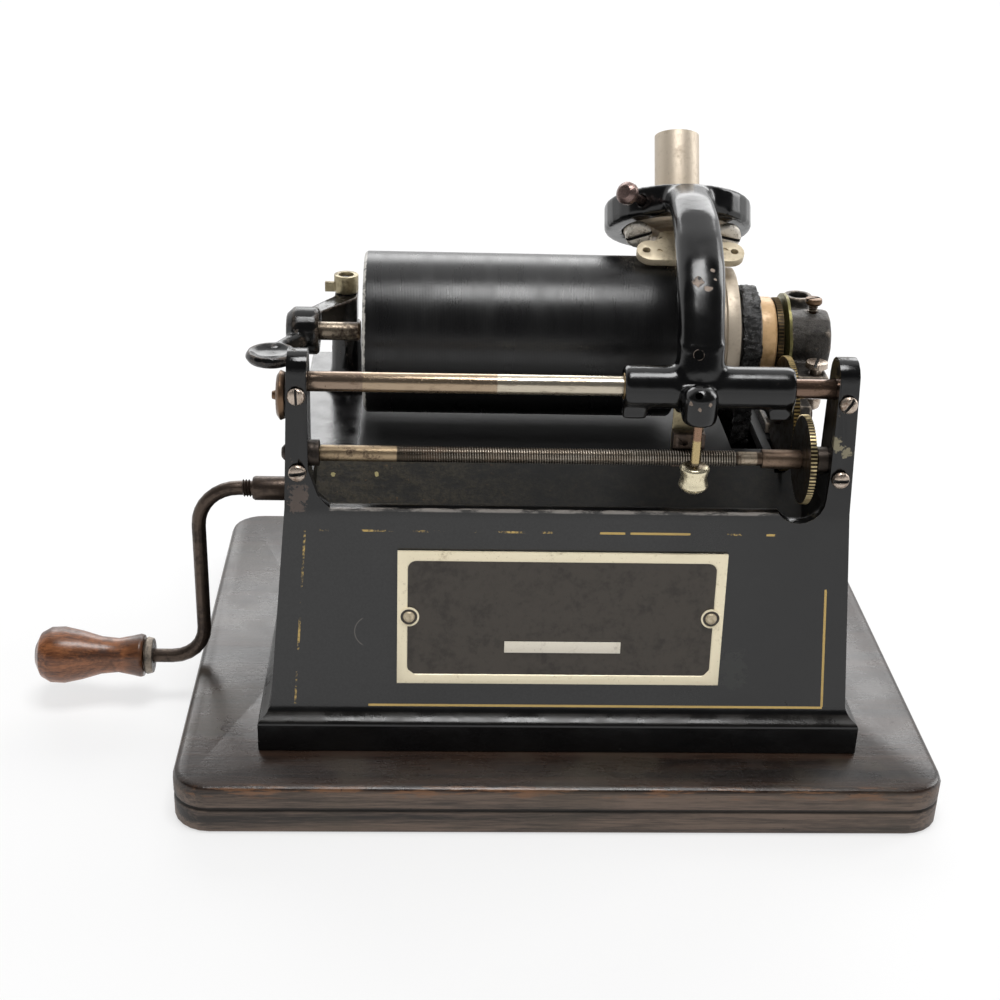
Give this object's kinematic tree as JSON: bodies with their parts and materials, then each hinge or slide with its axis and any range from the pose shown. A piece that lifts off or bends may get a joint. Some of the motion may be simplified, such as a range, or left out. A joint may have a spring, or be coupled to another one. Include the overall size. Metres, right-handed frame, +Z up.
{
  "type": "cylinder phonograph",
  "caption": "Open spring-driven cylinder phonograph: black cast body on a moulded wooden board, belt-driven mandrel with a wax record, feed screw, sliding reproducer carriage and winding crank.",
  "frame": {"origin": "centre of the wooden board's underside", "axes": "+X to the right along the mandrel, seen from the front with the name plate; +Y to the back; +Z up"},
  "size_m": [0.312, 0.198, 0.2007],
  "materials": {
    "japan_black": "glossy black japanned cast iron, chipped",
    "worn_iron": "dark bare iron, dull",
    "walnut": "very dark stained, worn gloss",
    "stained_beech": "turned, red-brown stain",
    "steel": "turned steel, tarnished",
    "nickel": "worn nickel plate, satin",
    "brass": "tarnished brown",
    "tan_drum": "smooth tan facing",
    "leather": "black, crumbled",
    "wax": "satin black moulded cylinder",
    "plate_panel": "bare etched plate, satin"
  },
  "bodies": {
    "root": {"base_board": "walnut", "base_screw_left": "steel", "base_screw_right": "steel", "body_casting": "japan_black", "name_plate": "plate_panel", "ear_screw_upper_left": "worn_iron", "ear_screw_upper_right": "worn_iron", "ear_screw_lower_left": "worn_iron", "ear_screw_lower_right": "worn_iron", "feed_bush_left": "brass", "feed_bush_right": "brass", "guide_rod": "brass", "rod_end_cap": "brass", "bearing_bracket": "worn_iron", "bearing_cap_screw": "worn_iron", "idler_stud": "steel", "bracket_screw_front": "worn_iron", "bracket_screw_back": "worn_iron", "motor_screw_left": "worn_iron", "motor_screw_right": "worn_iron", "gate_post": "japan_black", "gate_ring": "brass", "crank_bush": "worn_iron", "motor_frame": "steel", "drive_belt": "leather"},
    "mandrel_group": {"wax_record": "wax", "mandrel": "nickel", "mandrel_shaft": "steel", "mandrel_pulley": "worn_iron", "pulley_drum": "tan_drum", "mandrel_gear": "brass", "mandrel_flange": "brass"},
    "idler": {"idler_gear": "brass"},
    "feed_screw_group": {"feed_screw": "steel", "feed_gear": "brass"},
    "belt_shaft_group": {"belt_shaft": "brass"},
    "second_wheel_group": {"second_wheel": "brass"},
    "barrel": {"spring_barrel": "brass", "great_wheel": "brass", "mainspring": "steel"},
    "governor_group": {"governor": "brass"},
    "crank_group": {"crank": "steel"},
    "crank_grip": {"crank_handle": "stained_beech", "handle_ferrule": "worn_iron"},
    "winding": {"winding_arbor": "steel"},
    "pawl": {"ratchet_pawl": "steel"},
    "carriage": {"carriage_bush": "brass"},
    "carriage_swing": {"carriage_arm": "japan_black", "half_nut_spring": "brass", "half_nut": "steel", "reproducer_body": "nickel", "reproducer_screw_left": "worn_iron", "reproducer_screw_right": "worn_iron"},
    "knob": {"lift_knob": "brass"},
    "clamp": {"clamp_screw": "steel"},
    "weight": {"reproducer_weight": "nickel"},
    "gate": {"gate_arm": "japan_black", "gate_pin": "steel"},
    "speed": {"speed_screw": "nickel"},
    "brake": {"brake_lever": "steel"}
  },
  "joints": [
    {"name": "mandrel_spin", "type": "hinge", "parent": "root", "child": "mandrel_group", "pos_m": [0, 0.005, 0.1354], "axis": [1, 0, 0], "continuous": true},
    {"name": "idler_spin", "type": "hinge", "parent": "root", "child": "idler", "pos_m": [0.0745, -0.02447, 0.11931], "axis": [1, 0, 0], "continuous": true},
    {"name": "feed_screw_spin", "type": "hinge", "parent": "root", "child": "feed_screw_group", "pos_m": [0, -0.058, 0.1174], "axis": [1, 0, 0], "continuous": true},
    {"name": "belt_shaft_spin", "type": "hinge", "parent": "root", "child": "belt_shaft_group", "pos_m": [0, 0.008, 0.07685], "axis": [1, 0, 0], "continuous": true},
    {"name": "second_spin", "type": "hinge", "parent": "root", "child": "second_wheel_group", "pos_m": [0, 0.01705, 0.05435], "axis": [1, 0, 0], "continuous": true},
    {"name": "barrel_spin", "type": "hinge", "parent": "root", "child": "barrel", "pos_m": [0, -0.02, 0.05435], "axis": [1, 0, 0], "continuous": true},
    {"name": "governor_spin", "type": "hinge", "parent": "root", "child": "governor_group", "pos_m": [0, 0.02665, 0.07685], "axis": [1, 0, 0], "continuous": true},
    {"name": "crank_turn", "type": "hinge", "parent": "root", "child": "crank_group", "pos_m": [0, -0.02, 0.0866], "axis": [1, 0, 0], "continuous": true},
    {"name": "handle_spin", "type": "hinge", "parent": "crank_group", "child": "crank_grip", "pos_m": [-0.1465, -0.02, 0.0189], "axis": [1, 0, 0], "continuous": true},
    {"name": "winding_turn", "type": "hinge", "parent": "root", "child": "winding", "pos_m": [0, -0.02, 0.05435], "axis": [1, 0, 0], "continuous": true},
    {"name": "pawl_swing", "type": "hinge", "parent": "root", "child": "pawl", "pos_m": [0, -0.0362, 0.06965], "axis": [-1, 0, 0], "range_deg": [0, 15]},
    {"name": "carriage_slide", "type": "slide", "parent": "root", "child": "carriage", "axis": [1, 0, 0], "range_m": [-0.094, 0.002]},
    {"name": "carriage_tilt", "type": "hinge", "parent": "carriage", "child": "carriage_swing", "pos_m": [0.039, -0.058, 0.1417], "axis": [1, 0, 0], "range_deg": [0, 12]},
    {"name": "knob_turn", "type": "hinge", "parent": "carriage_swing", "child": "knob", "pos_m": [0.0383, -0.0703, 0.1206], "axis": [0, 0, 1], "range_deg": [-90, 90]},
    {"name": "clamp_turn", "type": "hinge", "parent": "carriage_swing", "child": "clamp", "pos_m": [0.042, 0.02865, 0.17124], "axis": [-0.6018, -0.6773, 0.4232], "range_deg": [-180, 180]},
    {"name": "weight_swing", "type": "hinge", "parent": "carriage_swing", "child": "weight", "pos_m": [0.042, 0.03693, 0.15486], "axis": [-1, 0, 0], "range_deg": [0, 4]},
    {"name": "gate_swing", "type": "hinge", "parent": "root", "child": "gate", "pos_m": [-0.0752, 0.035, 0.1285], "axis": [0, 0, -1], "range_deg": [0, 95]},
    {"name": "speed_turn", "type": "hinge", "parent": "root", "child": "speed", "pos_m": [0.087, -0.015, 0.1248], "axis": [0, 0, 1], "range_deg": [-180, 180]},
    {"name": "brake_swing", "type": "hinge", "parent": "root", "child": "brake", "pos_m": [0, 0.04565, 0.08985], "axis": [-1, 0, 0], "range_deg": [0, 10]}
  ],
  "couplings": [
    {"joint": "idler_spin", "follows": "mandrel_spin", "ratio": -0.73469},
    {"joint": "feed_screw_spin", "follows": "mandrel_spin", "ratio": 1},
    {"joint": "belt_shaft_spin", "follows": "mandrel_spin", "ratio": 1.875},
    {"joint": "second_spin", "follows": "mandrel_spin", "ratio": -0.375},
    {"joint": "barrel_spin", "follows": "mandrel_spin", "ratio": 0.05625},
    {"joint": "governor_spin", "follows": "mandrel_spin", "ratio": -8.9062},
    {"joint": "winding_turn", "follows": "crank_turn", "ratio": -0.33333}
  ]
}
